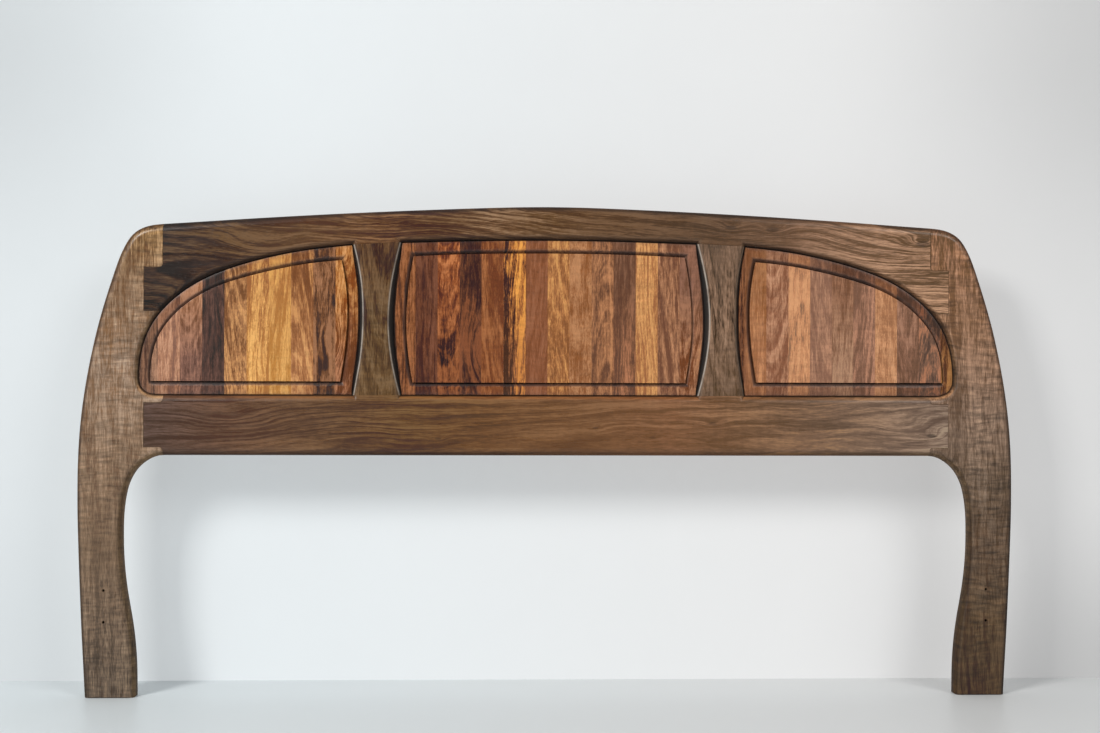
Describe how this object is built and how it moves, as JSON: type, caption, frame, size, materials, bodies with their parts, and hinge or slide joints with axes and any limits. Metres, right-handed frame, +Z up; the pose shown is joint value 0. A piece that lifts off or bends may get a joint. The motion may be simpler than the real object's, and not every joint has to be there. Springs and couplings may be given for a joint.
{
  "type": "bed headboard",
  "caption": "Solid-wood bed headboard: crowned top rail on two shaped legs, waisted dividers and raised panels glued up from upright boards.",
  "frame": {"origin": "on the floor line, midway between the legs and midway through the board's thickness", "axes": "+X along the board's length, -Y out of the front face towards the mattress, +Z up"},
  "size_m": [2.032, 0.044, 1.062],
  "materials": {
    "left_post_walnut": "light tan-brown walnut, oiled satin, fine upright grain with faint cross figure",
    "right_post_walnut": "red-brown curly walnut, oiled satin, cross ripple over upright grain",
    "top_rail_walnut": "dark walnut with orange-brown streaks along its length, oiled satin",
    "bottom_rail_walnut": "dark purple-brown walnut with cathedral grain and a paler sapwood edge, oiled satin",
    "divider_walnut": "olive-brown walnut with upright grain, oiled satin",
    "panel_gold": "bright golden figured koa, polished oil finish",
    "panel_orange": "orange-brown figured koa, polished oil finish",
    "panel_tan": "pinkish tan figured wood, polished oil finish",
    "panel_brown": "dark brown figured wood with black streaks, polished oil finish",
    "panel_plum": "dark plum-brown wood, polished oil finish",
    "tenon_maple": "plain planed hardwood, unfinished"
  },
  "bodies": {
    "root": {"left_post": "left_post_walnut", "right_post": "right_post_walnut", "top_rail": "top_rail_walnut", "bottom_rail": "bottom_rail_walnut", "left_divider": "divider_walnut", "right_divider": "divider_walnut", "left_upper_tenon": "tenon_maple", "left_lower_tenon": "tenon_maple", "left_divider_top_tenon": "tenon_maple", "left_divider_bottom_tenon": "tenon_maple", "right_upper_tenon": "tenon_maple", "right_lower_tenon": "tenon_maple", "right_divider_top_tenon": "tenon_maple", "right_divider_bottom_tenon": "tenon_maple", "left_panel_stave_01": "panel_tan", "left_panel_stave_02": "panel_tan", "left_panel_stave_03": "panel_orange", "left_panel_stave_04": "panel_plum", "left_panel_stave_05": "panel_orange", "left_panel_stave_06": "panel_gold", "left_panel_stave_07": "panel_gold", "left_panel_stave_08": "panel_orange", "left_panel_stave_09": "panel_brown", "left_panel_stave_10": "panel_gold", "center_panel_stave_01": "panel_orange", "center_panel_stave_02": "panel_brown", "center_panel_stave_03": "panel_orange", "center_panel_stave_04": "panel_orange", "center_panel_stave_05": "panel_orange", "center_panel_stave_06": "panel_gold", "center_panel_stave_07": "panel_brown", "center_panel_stave_08": "panel_gold", "center_panel_stave_09": "panel_gold", "center_panel_stave_10": "panel_brown", "center_panel_stave_11": "panel_plum", "center_panel_stave_12": "panel_orange", "center_panel_stave_13": "panel_brown", "center_panel_stave_14": "panel_orange", "right_panel_stave_01": "panel_orange", "right_panel_stave_02": "panel_orange", "right_panel_stave_03": "panel_tan", "right_panel_stave_04": "panel_brown", "right_panel_stave_05": "panel_gold", "right_panel_stave_06": "panel_plum", "right_panel_stave_07": "panel_brown", "right_panel_stave_08": "panel_orange", "right_panel_stave_09": "panel_gold", "right_panel_stave_10": "panel_brown", "right_panel_stave_11": "panel_gold"}
  },
  "joints": []
}
